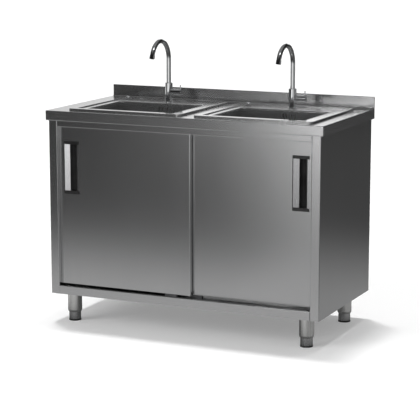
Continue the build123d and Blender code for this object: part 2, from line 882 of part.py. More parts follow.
for name, side in halves:
    x = sink_x(side)
    with BuildPart() as waste_body:
        with BuildSketch(Plane.XZ):
            with BuildLine():
                Polyline(
                    (body_bore, bowl_under),
                    (flange_radius, bowl_under),
                    (flange_radius, bowl_under - body_collar),
                    (body_radius, bowl_under - body_collar),
                    (body_radius, cone_top),
                    (spigot_radius, cone_bottom),
                    (spigot_radius, spigot_end),
                    (spigot_bore, spigot_end),
                    (spigot_bore, cone_bottom),
                    (body_bore, cone_top),
                    close=True,
                )
            make_face()
        revolve(axis=Axis.Z)
        with BuildSketch(Plane.XZ.offset(-body_bore)):
            with Locations((tap_offset, overflow_z)):
                Circle(overflow_radius + thread_gap + overflow_wall)
        extrude(amount=-body_wall - overflow_spigot)
        with BuildSketch(Plane.XZ.offset(-body_bore / 2)):
            with Locations((tap_offset, overflow_z)):
                Circle(overflow_radius + thread_gap)
        extrude(amount=-body_bore - overflow_spigot, mode=Mode.SUBTRACT)
    waste_body.part.position = (x, bowl_y, 0)
    save(waste_body, f"{name}_waste_body")

    # Overflow: a housing over the slots and a bent pipe down to the waste body
    slot_x = x + tap_offset
    slot_z = deck - slot_top - slot_height / 2
    housing_low = slot_z - housing_height / 2
    pipe_end_y = bowl_y + body_radius + overflow_spigot - overflow_insert
    with BuildPart() as overflow:
        with BuildSketch(Plane.XZ.offset(-bowl_back - sink_sheet)):
            with Locations((slot_x, slot_z)):
                RectangleRounded(housing_width, housing_height, housing_depth / 2)
        extrude(amount=-housing_depth)
        with BuildSketch(Plane.XZ.offset(-bowl_back - sink_sheet)):
            with Locations((slot_x, slot_z)):
                RectangleRounded(
                    housing_width - 2 * housing_wall,
                    housing_height - 2 * housing_wall,
                    housing_depth / 2 - housing_wall,
                )
        extrude(amount=-housing_depth + housing_wall, mode=Mode.SUBTRACT)
        with BuildLine(Plane.YZ.offset(slot_x)) as overflow_path:
            FilletPolyline(
                (overflow_y, housing_low + housing_wall / 2),
                (overflow_y, overflow_z),
                (pipe_end_y, overflow_z),
                radius=overflow_bend,
            )
        with BuildSketch(Plane.XY.offset(housing_low + housing_wall / 2)):
            with Locations((slot_x, overflow_y)):
                Circle(overflow_radius)
                Circle(overflow_radius - overflow_wall, mode=Mode.SUBTRACT)
        sweep(path=overflow_path.wires()[0])
        with BuildSketch(Plane.XY.offset(housing_low)):
            with Locations((slot_x, overflow_y)):
                Circle(overflow_radius - overflow_wall)
        extrude(amount=housing_wall, mode=Mode.SUBTRACT)
    save(overflow, f"{name}_overflow")

    # Branch pipe: down from the waste, then across to the tee
    tee_end = sink_shift + side * (tee_reach - pipe_insert)
    with BuildPart() as branch_pipe:
        with BuildLine(Plane.XZ.offset(-bowl_y)) as branch_path:
            FilletPolyline(
                (x, spigot_end + pipe_insert),
                (x, branch_z),
                (tee_end, branch_z),
                radius=bend_radius,
            )
        with BuildSketch(Plane.XY.offset(spigot_end + pipe_insert)):
            with Locations((x, bowl_y)):
                Circle(pipe_radius)
                Circle(pipe_radius - pipe_wall, mode=Mode.SUBTRACT)
        sweep(path=branch_path.wires()[0])
    save(branch_pipe, f"{name}_branch_pipe")

# Bottle trap: a body with two inlets and one outlet, and a cup screwed on below
trap_low = branch_z + trap_crown - trap_height
outlet_z = branch_z - trap_outlet_drop
with BuildPart() as trap_body:
    with Locations((sink_shift, bowl_y, trap_low)):
        Cylinder(trap_radius, trap_height, align=(Align.CENTER, Align.CENTER, Align.MIN))
    fillet(trap_body.faces().sort_by(Axis.Z)[-1].edges(), radius=trap_radius / 2)
    with BuildSketch(Plane.YZ.offset(sink_shift)):
        with Locations((bowl_y, branch_z)):
            Circle(spigot_radius)
    extrude(amount=tee_reach, both=True)
    with BuildSketch(Plane.XZ.offset(-bowl_y)):
        with Locations((sink_shift, outlet_z)):
            Circle(trap_boss_radius)
    extrude(amount=-trap_boss_length)
    with BuildSketch(Plane.XZ.offset(-bowl_y)):
        with Locations((sink_shift, outlet_z)):
            Circle(pipe_radius)
    extrude(amount=-trap_outlet_length)
    with Locations((sink_shift, bowl_y, trap_low)):
        Cylinder(
            trap_radius - trap_wall,
            trap_height - trap_crown,
            align=(Align.CENTER, Align.CENTER, Align.MIN),
            mode=Mode.SUBTRACT,
        )
    with BuildSketch(Plane.YZ.offset(sink_shift)):
        with Locations((bowl_y, branch_z)):
            Circle(spigot_bore)
    extrude(amount=tee_reach, both=True, mode=Mode.SUBTRACT)
    with BuildSketch(Plane.XZ.offset(-bowl_y)):
        with Locations((sink_shift, outlet_z)):
            Circle(pipe_radius - pipe_wall)
    extrude(amount=-trap_outlet_length, mode=Mode.SUBTRACT)
save(trap_body, "trap_body")

cup_bore = trap_radius + thread_gap
cup_radius = cup_bore + cup_wall
cup_low = trap_low + cup_overlap - cup_height
with BuildPart() as trap_cup:
    with BuildSketch(Plane.XZ):
        with BuildLine():
            FilletPolyline(
                (0, cup_low),
                (cup_radius, cup_low),
                (cup_radius, trap_low + cup_overlap),
                (cup_bore, trap_low + cup_overlap),
                (cup_bore, cup_low + cup_wall),
                (0, cup_low + cup_wall),
                radius=(cup_height / 4, 0, 0, cup_height / 4 - cup_wall),
                close=False,
            )
            Line((0, cup_low + cup_wall), (0, cup_low))
        make_face()
    revolve(axis=Axis.Z)
    with BuildSketch(Plane.XY.offset(trap_low - cup_overlap)):
        with PolarLocations(cup_radius, cup_ribs):
            Circle(cup_rib)
        Circle(cup_radius - cup_wall / 2, mode=Mode.SUBTRACT)
    extrude(amount=2 * cup_overlap)
trap_cup.part.position = (sink_shift, bowl_y, 0)
save(trap_cup, "trap_cup")

# Slip nuts where the branch pipes enter the waste bodies and the tee
nut_radius = spigot_radius + thread_gap + nut_wall
with BuildPart() as nut:
    with BuildSketch(Plane.XZ):
        with BuildLine():
            Polyline(
                (pipe_radius + thread_gap, -nut_lip),
                (nut_radius, -nut_lip),
                (nut_radius, nut_length - nut_lip),
                (spigot_radius + thread_gap, nut_length - nut_lip),
                (spigot_radius + thread_gap, 0),
                (pipe_radius + thread_gap, 0),
                close=True,
            )
        make_face()
    revolve(axis=Axis.Z)
    with BuildSketch(Plane.XY.offset(-nut_lip)):
        with PolarLocations(nut_radius, nut_ribs):
            Circle(nut_rib)
        Circle(nut_radius - nut_wall / 2, mode=Mode.SUBTRACT)
    extrude(amount=nut_length)
with BuildPart() as slip_nuts:
    for name, side in halves:
        with Locations((sink_x(side), bowl_y, spigot_end)):
            add(nut.part)
        with Locations(Location((sink_shift + side * tee_reach, bowl_y, branch_z), (0, -90 * side, 0))):
            add(nut.part)
save(slip_nuts, "slip_nuts")

# Drain knobs on the decks, turning in bushes, and the pop-up plugs that they lift
knob_low = deck + bush_flange_height + running_gap
plug_low = bowl_floor + flange_thickness / 2
hub_top = bowl_floor - throat_depth + hub_height
for name, side in halves:
    x = sink_x(side)
    with BuildPart() as knob:
        with BuildSketch(Plane.XZ):
            with BuildLine():
                skirt_edge = (knob_radius, knob_low + knob_skirt)
                dome = TangentArc((0, knob_low + knob_height), skirt_edge, tangent=(1, 0))
                Polyline(
                    dome @ 1,
                    (knob_radius, knob_low),
                    (spindle_radius, knob_low),
                    (spindle_radius, knob_low - spindle_drop),
                    (0, knob_low - spindle_drop),
                    dome @ 0,
                )
            make_face()
        revolve(axis=Axis.Z)
        with BuildSketch(Plane.XY.offset(knob_low + knob_skirt / 4)):
            with PolarLocations(knob_radius, knob_flutes):
                Circle(knob_flute)
        extrude(amount=knob_skirt / 2, mode=Mode.SUBTRACT)
    knob.part.position = (x - knob_offset, knob_y, 0)
    save(knob, f"{name}_drain_knob")

    with BuildPart() as plug:
        with BuildSketch(Plane.XZ):
            with BuildLine():
                rim_edge = (plug_radius, plug_low + plug_rim)
                crown = TangentArc((0, plug_low + plug_rim + plug_crown), rim_edge, tangent=(1, 0))
                Polyline(
                    crown @ 1,
                    (plug_radius, plug_low),
                    (stem_radius, plug_low),
                    (stem_radius, hub_top - stem_length),
                    (0, hub_top - stem_length),
                    crown @ 0,
                )
            make_face()
        revolve(axis=Axis.Z)
    plug.part.position = (x, bowl_y, 0)
    save(plug, f"{name}_drain_plug")

with BuildPart() as knob_bushes:
    for name, side in halves:
        bush_place = (sink_x(side) - knob_offset, knob_y)
        for level, radius, height in (
            (deck, bush_flange, bush_flange_height),
            (deck, bush_radius - thread_gap, -bush_length),
        ):
            with BuildSketch(Plane.XY.offset(level)):
                with Locations(bush_place):
                    Circle(radius)
            extrude(amount=height)
        with BuildSketch(Plane.XY.offset(deck - sink_sheet)):
            with Locations(bush_place):
                RegularPolygon(bush_nut_radius, 6)
        extrude(amount=-bush_nut_height)
        with BuildSketch(Plane.XY.offset(deck + bush_flange_height)):
            with Locations(bush_place):
                Circle(spindle_radius + running_fit)
        extrude(amount=-bush_length - bush_flange_height, mode=Mode.SUBTRACT)
save(knob_bushes, "knob_bushes")

# Taps: body with side valve, swivel spout with aerator, and a lever pin in a turning cap
body_top = deck + tap_height
valve_z = deck + valve_height
for name, side in halves:
    x = sink_x(side) + tap_offset
    with BuildPart() as tap_body:
        with BuildSketch(Plane.XZ):
            with BuildLine():
                Polyline(
                    (shank_radius - shank_wall, deck - shank_length),
                    (shank_radius, deck - shank_length),
                    (shank_radius, deck),
                    (tap_base_radius, deck),
                    (tap_base_radius, deck + tap_base_height),
                    (tap_radius, deck + tap_base_height + tap_base_radius - tap_radius),
                    (tap_radius, body_top),
                    (0, body_top),
                    (0, deck),
                    (shank_radius - shank_wall, deck),
                    close=True,
                )
            make_face()
        revolve(axis=Axis.Z)
        with BuildSketch(Plane.YZ):
            with Locations((0, valve_z)):
                Circle(valve_radius)
        extrude(amount=valve_reach)
        fillet(tap_body.edges().group_by(Axis.Z)[-1], radius=tap_base_radius - tap_radius)
        with BuildSketch(Plane.XY.offset(body_top)):
            Circle(spout_radius + running_fit)
        extrude(amount=-socket_depth, mode=Mode.SUBTRACT)
        with BuildSketch(Plane.YZ.offset(valve_reach)):
            with Locations((0, valve_z)):
                Circle(valve_bore + running_fit)
        extrude(amount=-valve_bore_depth, mode=Mode.SUBTRACT)
    tap_body.part.position = (x, tap_y, 0)
    save(tap_body, f"{name}_tap_body")

    with BuildPart() as spout:
        with BuildLine(Plane.YZ) as spout_path:
            riser_foot = body_top - socket_depth + running_gap
            riser = Line((0, riser_foot), (0, body_top + spout_riser - tap_height))
            JernArc(riser @ 1, riser % 1, spout_bend, spout_turn)
        with BuildSketch(Plane.XY.offset(body_top - socket_depth + running_gap)):
            Circle(spout_radius)
            Circle(spout_radius - spout_wall, mode=Mode.SUBTRACT)
        sweep(path=spout_path.wires()[0])
    spout_end = Plane(spout_path.wires()[0] @ 1, z_dir=spout_path.wires()[0] % 1)
    spout.part.position = (x, tap_y, 0)
    save(spout, f"{name}_tap_spout")

    with BuildPart() as aerator:
        with BuildSketch(spout_end):
            Circle(aerator_radius)
            Circle(aerator_bore, mode=Mode.SUBTRACT)
        extrude(amount=aerator_length)
    aerator.part.position = (x, tap_y, 0)
    save(aerator, f"{name}_tap_aerator")

    with BuildPart() as cap:
        with BuildSketch(Plane.YZ.offset(valve_reach + running_gap)):
            with Locations((0, valve_z)):
                Circle(cap_radius)
        extrude(amount=cap_reach - valve_reach - running_gap)
        fillet(cap.faces().sort_by(Axis.X)[-1].edges(), radius=lever_tail / 2)
        with BuildSketch(Plane.YZ.offset(valve_reach + running_gap)):
            with Locations((0, valve_z)):
                Circle(valve_bore)
        extrude(amount=-valve_bore_depth)
        with BuildSketch(Plane.XZ):
            with Locations((lever_offset - lever_slot_inset, valve_z - lever_slot_floor)):
                Rectangle(cap_reach, cap_reach, align=(Align.MIN, Align.MIN))
        extrude(amount=lever_slot / 2, both=True, mode=Mode.SUBTRACT)
        with BuildSketch(Plane.XZ):
            with Locations((lever_offset, valve_z)):
                Circle(cross_pin_radius + running_fit)
        extrude(amount=cross_pin_half, both=True, mode=Mode.SUBTRACT)
    cap.part.position = (x, tap_y, 0)
    save(cap, f"{name}_tap_cap")

    with BuildPart() as lever_pin:
        with BuildSketch(Plane.XY.offset(valve_z - lever_tail)):
            with Locations((lever_offset, 0)):
                Circle(lever_radius)
        extrude(amount=lever_tail + lever_length)
        fillet(lever_pin.edges().group_by(Axis.Z)[-1], radius=lever_radius / 2)
        with BuildSketch(Plane.XZ):
            with Locations((lever_offset, valve_z)):
                Circle(cross_pin_radius)
        extrude(amount=cross_pin_half - running_gap, both=True)
    lever_pin.part.position = (x, tap_y, 0)
    save(lever_pin, f"{name}_tap_pin")

# Locknuts that draw the taps down on the decks
with BuildPart() as tap_locknuts:
    with BuildSketch(Plane.XY.offset(deck - sink_sheet)):
        with Locations(*[(sink_x(side) + tap_offset, tap_y) for name, side in halves]):
            RegularPolygon(locknut_radius, 6)
            Circle(shank_radius + thread_gap, mode=Mode.SUBTRACT)
    extrude(amount=-locknut_height)
save(tap_locknuts, "tap_locknuts")

# Feet: fixed sleeves under the shelf and inserts that slide in them
sleeve_bore = sleeve_radius - sleeve_wall
mouth_radius = insert_radius + insert_gap
collar_radius = sleeve_bore - insert_gap
plate_low = shelf_under - foot_plate
foot_places = [
    ("front_left", -foot_x, -foot_front),
    ("front_right", foot_x, -foot_front),
    ("back_left", -foot_x, foot_back),
    ("back_right", foot_x, foot_back),
]
with BuildPart() as sleeve:
    with BuildSketch(Plane.XZ):
        with BuildLine():
            outside = Polyline(
                (0, plate_low),
                (0, shelf_under),
                (foot_plate_radius, shelf_under),
                (foot_plate_radius, plate_low),
                (sleeve_radius, plate_low),
                (sleeve_radius, sleeve_end + sleeve_curl),
            )
            swage = TangentArc(outside @ 1, (mouth_radius, sleeve_end), tangent=(0, -1))
            mouth = Line(swage @ 1, (mouth_radius, sleeve_end + sleeve_wall))
            TangentArc((sleeve_bore, sleeve_end + sleeve_curl), mouth @ 1, tangent=(0, -1))
            Polyline((sleeve_bore, sleeve_end + sleeve_curl), (sleeve_bore, plate_low), (0, plate_low))
        make_face()
    revolve(axis=Axis.Z)
with BuildPart() as foot_sleeves:
    with Locations(*[(x, y, 0) for name, x, y in foot_places]):
        add(sleeve.part)
save(foot_sleeves, "foot_sleeves")

for name, x, y in foot_places:
    with BuildPart() as insert:
        with BuildSketch(Plane.XZ):
            with BuildLine():
                Polyline(
                    (0, 0),
                    (pad_radius, 0),
                    (pad_radius, pad_height),
                    (insert_radius - pad_groove, pad_height),
                    (insert_radius - pad_groove, pad_height + pad_groove),
                    (insert_radius, pad_height + pad_groove),
                    (insert_radius, insert_top),
                    (collar_radius, insert_top),
                    (collar_radius, insert_top + collar_height),
                    (insert_radius - insert_wall, insert_top + collar_height),
                    (insert_radius - insert_wall, pad_height + pad_groove + insert_wall),
                    (0, pad_height + pad_groove + insert_wall),
                    close=True,
                )
            make_face()
        revolve(axis=Axis.Z)
    insert.part.position = (x, y, 0)
    save(insert, f"{name}_foot")
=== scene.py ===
import math
import bpy
import numpy as np
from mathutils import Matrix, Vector

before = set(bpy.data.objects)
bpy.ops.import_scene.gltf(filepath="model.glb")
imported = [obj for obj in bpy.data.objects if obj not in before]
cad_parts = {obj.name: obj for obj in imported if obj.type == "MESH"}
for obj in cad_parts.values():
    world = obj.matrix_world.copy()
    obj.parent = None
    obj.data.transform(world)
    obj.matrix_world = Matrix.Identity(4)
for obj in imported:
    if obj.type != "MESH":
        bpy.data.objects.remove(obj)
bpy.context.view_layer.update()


# Side panels, back, shelf and fascia: the carcass is 1.5 mm stainless sheet, folded along its edges.
# Upright sheets are brushed upright, the shelf and the fascia along their length, and the joints are
# spot-welded from the inside.
def feed(tree, socket, value):
    """Links a socket to another one, or sets it to a plain value."""
    if isinstance(value, bpy.types.NodeSocket):
        tree.links.new(value, socket)
    else:
        socket.default_value = value


def add_node(tree, kind, settings=None, **inputs):
    """A shader node with its settings, and its input sockets fed by name with spaces as underscores."""
    made = tree.nodes.new(kind)
    for key, value in (settings or {}).items():
        setattr(made, key, value)
    for key, value in inputs.items():
        feed(tree, made.inputs[key.replace("_", " ")], value)
    return made


def worked(tree, operation, *values):
    """One step of arithmetic between sockets or numbers."""
    step = add_node(tree, "ShaderNodeMath", {"operation": operation})
    for socket, value in zip(step.inputs, values):
        feed(tree, socket, value)
    return step.outputs[0]


def ranged(tree, value, span, levels=(0.0, 1.0), step="LINEAR"):
    """The first level below a span of values, the second above it, and a step between them."""
    made = add_node(
        tree,
        "ShaderNodeMapRange",
        {"interpolation_type": step},
        Value=value,
        From_Min=span[0],
        From_Max=span[1],
        To_Min=levels[0],
        To_Max=levels[1],
    )
    return made.outputs["Result"]


def mixed(tree, share, first, second):
    """The colour between first and second, by share."""
    mix = add_node(tree, "ShaderNodeMix", {"data_type": "RGBA"})
    factor, colour_a, colour_b = mix.inputs[0], mix.inputs[6], mix.inputs[7]
    for socket, value in ((factor, share), (colour_a, first), (colour_b, second)):
        feed(tree, socket, value)
    return mix.outputs[2]


def new_group(name, sockets_in):
    """A shader node group with named inputs, given as (name, type, default), that puts out a finish."""
    tree = bpy.data.node_groups.new(name, "ShaderNodeTree")
    for label, kind, start in sockets_in:
        socket = tree.interface.new_socket(label, in_out="INPUT", socket_type=kind)
        if start is not None:
            socket.default_value = start
    for label, kind in (("Color", "Color"), ("Roughness", "Float"), ("Height", "Float")):
        tree.interface.new_socket(label, in_out="OUTPUT", socket_type=f"NodeSocket{kind}")
    return tree, tree.nodes.new("NodeGroupInput").outputs, tree.nodes.new("NodeGroupOutput").inputs


NOISE_SPAN = (0.3, 0.7)
WHOLE_SPAN = (0.0, 1.0)


def brushed_group():
    """Brush lines of a belt-finished sheet: streaks in a stretched position, and wide rubbed patches."""
    tree, given, result = new_group(
        "brushed_sheet",
        (
            ("Position", "NodeSocketVector", None),
            ("Patches", "NodeSocketVector", None),
            ("Dark", "NodeSocketColor", (0.5, 0.5, 0.5, 1)),
            ("Light", "NodeSocketColor", (0.6, 0.6, 0.6, 1)),
            ("Smooth", "NodeSocketFloat", 0.24),
            ("Rough", "NodeSocketFloat", 0.34),
        ),
    )
    streak_share, patch_share = 0.6, 0.4
    streak = add_node(
        tree, "ShaderNodeTexNoise", Vector=given["Position"], Scale=1.0, Detail=4.0, Roughness=0.62
    ).outputs["Fac"]
    patch = add_node(
        tree, "ShaderNodeTexNoise", Vector=given["Patches"], Scale=1.0, Detail=2.0, Roughness=0.5
    ).outputs["Fac"]
    rubbed = worked(tree, "MULTIPLY", ranged(tree, patch, NOISE_SPAN), patch_share)
    both = worked(tree, "MULTIPLY_ADD", ranged(tree, streak, NOISE_SPAN), streak_share, rubbed)
    feed(tree, result["Color"], mixed(tree, both, given["Light"], given["Dark"]))
    feed(tree, result["Roughness"], ranged(tree, both, WHOLE_SPAN, (given["Smooth"], given["Rough"])))
    feed(tree, result["Height"], streak)
    return tree


brushed = brushed_group()


def new_material(name):
    """A material with a Principled shader; returns the material, its tree, the shader and the position."""
    made = bpy.data.materials.new(name)
    made.use_nodes = True
    tree = made.node_tree
    position = tree.nodes.new("ShaderNodeTexCoord").outputs["Object"]
    return made, tree, tree.nodes["Principled BSDF"], position


def stretched(tree, position, scale):
    """The object position multiplied by a scale for each axis."""
    return add_node(tree, "ShaderNodeMapping", Vector=position, Scale=scale).outputs["Vector"]


def bumped(tree, shader, height, strength, depth):
    """Raises the surface's normal by a height, with a strength and a depth in metres."""
    bump = add_node(tree, "ShaderNodeBump", Strength=strength, Distance=depth, Height=height)
    feed(tree, shader.inputs["Normal"], bump.outputs["Normal"])


def put_on(tree, shader, finish, relief, depth):
    """Gives a finish's colour, roughness and height to a shader."""
    for label, socket in (("Color", "Base Color"), ("Roughness", "Roughness")):
        feed(tree, shader.inputs[socket], finish.outputs[label])
    bumped(tree, shader, finish.outputs["Height"], relief, depth)


ALONG_X, ALONG_Z = 0, 2
STEEL_TONES = ((0.585, 0.587, 0.59, 1), (0.625, 0.627, 0.63, 1))


def brushed_steel(name, along, tones=STEEL_TONES, roughness=(0.2, 0.23), relief=0.003, metallic=1.0):
    """Stainless sheet brushed along one axis: lines about 1 mm apart and 0.3 m long."""
    made, tree, shader, position = new_material(name)
    line_scale, length_scale = 900.0, 4.0
    patch_scale, patch_length_scale = 7.0, 2.0
    lines = tuple(length_scale if axis == along else line_scale for axis in range(3))
    patches = tuple(patch_length_scale if axis == along else patch_scale for axis in range(3))
    finish = add_node(
        tree,
        "ShaderNodeGroup",
        {"node_tree": brushed},
        Position=stretched(tree, position, lines),
        Patches=stretched(tree, position, patches),
        Dark=tones[0],
        Light=tones[1],
        Smooth=roughness[0],
        Rough=roughness[1],
    )
    put_on(tree, shader, finish, relief, depth=0.0004)
    shader.inputs["Metallic"].default_value = metallic
    return made


def dress(material, *names):
    """Gives one material to CAD nodes by name."""
    for name in names:
        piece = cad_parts[name]
        piece.data.materials.clear()
        piece.data.materials.append(material)


dress(brushed_steel("upright_steel", ALONG_Z), "left_side_panel", "right_side_panel", "back_panel")
dress(brushed_steel("level_steel", ALONG_X), "bottom_shelf", "fascia")

# Upper track, hangers, clips and screws: zinc-plated steel, pressed or turned.
# Plating is duller and patchier than the brushed sheet.
zinc_tones = ((0.42, 0.43, 0.43, 1), (0.6, 0.6, 0.58, 1))
plated = brushed_steel("plated_steel", ALONG_X, zinc_tones, roughness=(0.3, 0.45), relief=0.02)
dress(plated, "upper_track", "left_door_hangers", "right_door_hangers", "track_screws", "sink_clips")


# Rubber and plastic fittings: track stops, sink seals, guides, rollers and handle pockets are moulded.
# A moulded face has a fine even grain, and its tone and gloss change slowly over the face.
def moulded_group():
    """Grain of a moulded face: fine pits for the bump and a slow change of tone."""
    tree, given, result = new_group(
        "moulded_face",
        (
            ("Position", "NodeSocketVector", None),
            ("Dark", "NodeSocketColor", (0.02, 0.02, 0.02, 1)),
            ("Light", "NodeSocketColor", (0.03, 0.03, 0.03, 1)),
            ("Smooth", "NodeSocketFloat", 0.4),
            ("Rough", "NodeSocketFloat", 0.55),
        ),
    )
    pits = add_node(tree, "ShaderNodeTexNoise", Vector=given["Position"], Scale=900.0, Detail=2.0)
    slow = add_node(tree, "ShaderNodeTexNoise", Vector=given["Position"], Scale=14.0, Detail=3.0)
    share = ranged(tree, slow.outputs["Fac"], NOISE_SPAN)
    feed(tree, result["Color"], mixed(tree, share, given["Dark"], given["Light"]))
    feed(tree, result["Roughness"], ranged(tree, share, WHOLE_SPAN, (given["Smooth"], given["Rough"])))
    feed(tree, result["Height"], pits.outputs["Fac"])
    return tree


moulded = moulded_group()


def moulded_plastic(name, tones, roughness):
    """Plastic or rubber with a moulded grain."""
    made, tree, shader, position = new_material(name)
    finish = add_node(
        tree,
        "ShaderNodeGroup",
        {"node_tree": moulded},
        Position=position,
        Dark=tones[0],
        Light=tones[1],
        Smooth=roughness[0],
        Rough=roughness[1],
    )
    put_on(tree, shader, finish, relief=0.12, depth=0.0002)
    return made


rubber_tones = ((0.012, 0.012, 0.012, 1), (0.03, 0.03, 0.03, 1))
black_rubber = moulded_plastic("black_rubber", rubber_tones, roughness=(0.55, 0.75))
dress(black_rubber, "track_stops", "sink_seals")
nylon_tones = ((0.1, 0.1, 0.105, 1), (0.16, 0.16, 0.165, 1))
grey_nylon = moulded_plastic("grey_nylon", nylon_tones, roughness=(0.4, 0.55))
dress(grey_nylon, "floor_guides")
for door in ("left", "right"):
    dress(grey_nylon, f"{door}_door_left_roller", f"{door}_door_right_roller")

# Worktop and its lining: a 1.5 mm sheet folded over a moisture-proof board, with an upstand along the wall.
# The sheet is brushed along its length; the board is raw chipboard, seen only from below.
worktop_steel = brushed_steel("worktop_steel", ALONG_X, roughness=(0.19, 0.22), metallic=0.97)
dress(worktop_steel, "worktop")


def chipboard(name):
    """Pressed wood chips: cells of different browns with a rough face."""
    made, tree, shader, position = new_material(name)
    chips = add_node(tree, "ShaderNodeTexVoronoi", Vector=position, Scale=260.0)
    browns = add_node(tree, "ShaderNodeValToRGB", Fac=chips.outputs["Color"])
    browns.color_ramp.elements[0].color = (0.3, 0.2, 0.11, 1)
    browns.color_ramp.elements[1].color = (0.56, 0.43, 0.28, 1)
    feed(tree, shader.inputs["Base Color"], browns.outputs["Color"])
    shader.inputs["Roughness"].default_value = 0.8
    bumped(tree, shader, chips.outputs["Distance"], strength=0.2, depth=0.0004)
    return made


dress(chipboard("lining_board"), "worktop_board")

# Sinks: each is pressed from one 1.2 mm sheet, with a raised frame, a sunk deck and a deep bowl.
# The pressing is a little smoother than the worktop, but scatters more light all over.
sink_steel = brushed_steel("sink_steel", ALONG_X, roughness=(0.15, 0.19), metallic=0.9)
dress(sink_steel, "left_sink", "right_sink", "waste_flanges", "left_drain_plug", "right_drain_plug")

# Drain under the bowls: waste bodies, overflow boxes, branch pipes, trap and nuts are white polypropylene.
# Each is moulded in one piece; the pipes slide into sockets and are held there by the screwed nuts.
white_tones = ((0.66, 0.66, 0.64, 1), (0.78, 0.78, 0.76, 1))
white_plastic = moulded_plastic("white_plastic", white_tones, roughness=(0.35, 0.5))
for half in ("left", "right"):
    dress(white_plastic, f"{half}_waste_body", f"{half}_overflow", f"{half}_branch_pipe")
dress(white_plastic, "trap_body", "trap_cup", "slip_nuts")


# Taps and drain knobs: cast and bent brass, polished and chromed; the locknuts under the deck stay bare.
# Chrome is a clear mirror with faint wiping marks. The knobs turn in chromed bushes.
def polished(name, tones, roughness):
    """Plated metal with wiping marks that change the gloss a little."""
    made, tree, shader, position = new_material(name)
    mark_scale = (60.0, 60.0, 25.0)
    mark_span = (0.35, 0.65)
    wiped = add_node(
        tree, "ShaderNodeTexNoise", Vector=stretched(tree, position, mark_scale), Scale=1.0, Detail=3.0
    )
    share = ranged(tree, wiped.outputs["Fac"], mark_span)
    feed(tree, shader.inputs["Base Color"], mixed(tree, share, tones[1], tones[0]))
    feed(tree, shader.inputs["Roughness"], ranged(tree, share, WHOLE_SPAN, roughness))
    shader.inputs["Metallic"].default_value = 1.0
    return made


chrome_tones = ((0.74, 0.75, 0.76, 1), (0.82, 0.83, 0.84, 1))
chrome = polished("chrome", chrome_tones, roughness=(0.03, 0.08))
for half in ("left", "right"):
    dress(chrome, f"{half}_tap_body", f"{half}_tap_cap", f"{half}_tap_pin", f"{half}_tap_spout")
    dress(chrome, f"{half}_tap_aerator", f"{half}_drain_knob")
dress(chrome, "knob_bushes")
brass_tones = ((0.6, 0.45, 0.2, 1), (0.76, 0.6, 0.3, 1))
dress(polished("turned_brass", brass_tones, roughness=(0.25, 0.4)), "tap_locknuts")

# Doors: a folded outer panel with a flat liner, hung on rollers; each has a flush handle.
# The sheets are brushed upright, and the handle is a black moulding with a bright metal strip.
door_steel = brushed_steel("door_steel", ALONG_Z)
strip_tones = ((0.64, 0.64, 0.65, 1), (0.76, 0.76, 0.77, 1))
strip_steel = brushed_steel("strip_steel", ALONG_Z, strip_tones, roughness=(0.22, 0.3), relief=0.01)


def handle_plastic(name, face_y):
    """Black moulding whose trough reflects less light the deeper it goes, as painted shade in the recess;
    the door's face is at face_y.
    """
    black_tones = ((0.01, 0.01, 0.01, 1), (0.022, 0.022, 0.022, 1))
    made = moulded_plastic(name, black_tones, roughness=(0.3, 0.45))
    tree = made.node_tree
    shader = tree.nodes["Principled BSDF"]
    position = tree.nodes.new("ShaderNodeTexCoord").outputs["Object"]
    place = add_node(tree, "ShaderNodeSeparateXYZ", Vector=position)
    rim_depth, trough_depth = 0.002, 0.009
    # Painted shade: the trough's reflection is cut down with depth, standing in for the shade down in the
    # recess.
    rim_gloss, trough_shade_gloss = 0.5, 0.08
    painted_trough_shade = ranged(
        tree, place.outputs["Y"], (face_y + rim_depth, face_y + trough_depth), (rim_gloss, trough_shade_gloss)
    )
    feed(tree, shader.inputs["Specular IOR Level"], painted_trough_shade)
    return made


for half, face_y in (("left", -0.277), ("right", -0.257)):
    dress(door_steel, f"{half}_door_panel", f"{half}_door_liner")
    dress(handle_plastic(f"{half}_handle_plastic", face_y), f"{half}_handle_pocket")
    dress(strip_steel, f"{half}_handle_strip")


# Feet: a steel sleeve under each corner, with an insert that screws up and down in it.
# The insert is turned steel and ends in a black moulded pad.
def foot_material(name):
    """Brushed insert above, black moulded pad below, parted at the pad's top edge."""
    made, tree, shader, position = new_material(name)
    pad_top = (0.0054, 0.0058)
    pad_black = (0.02, 0.02, 0.02, 1)
    pad_roughness = 0.6
    line_scale, patch_scale = (320.0, 320.0, 5.0), (7.0, 7.0, 2.0)
    height = add_node(tree, "ShaderNodeSeparateXYZ", Vector=position).outputs["Z"]
    above = ranged(tree, height, pad_top)
    finish = add_node(
        tree,
        "ShaderNodeGroup",
        {"node_tree": brushed},
        Position=stretched(tree, position, line_scale),
        Patches=stretched(tree, position, patch_scale),
        Dark=STEEL_TONES[0],
        Light=STEEL_TONES[1],
        Smooth=0.2,
        Rough=0.3,
    )
    rough = ranged(tree, above, WHOLE_SPAN, (pad_roughness, finish.outputs["Roughness"]))
    feed(tree, shader.inputs["Base Color"], mixed(tree, above, pad_black, finish.outputs["Color"]))
    feed(tree, shader.inputs["Roughness"], rough)
    feed(tree, shader.inputs["Metallic"], above)
    return made


sleeve_tones = ((0.7, 0.7, 0.69, 1), (0.76, 0.76, 0.75, 1))
dress(brushed_steel("foot_steel", ALONG_Z, sleeve_tones, roughness=(0.2, 0.3)), "foot_sleeves")
foot_insert = foot_material("foot_insert")
for end in ("front", "back"):
    dress(foot_insert, f"{end}_left_foot", f"{end}_right_foot")

# Studio: a white floor under narrow overhead suns and a soft fill from the front left, in a white surround.
# Round it stand a dim screen with pale openings, a lit floor with the cabinet's shadow painted on it, and
# two lamps, which show only as reflections in the steel.
scene = bpy.context.scene


def stage_mesh(name, points, faces):
    """A piece of the studio from its points and faces."""
    mesh = bpy.data.meshes.new(name)
    mesh.from_pydata(points, [], faces)
    made = bpy.data.objects.new(name, mesh)
    scene.collection.objects.link(made)
    return made


def panel(name, corners):
    """A flat piece of the studio with four corners."""
    return stage_mesh(name, corners, [(0, 1, 2, 3)])


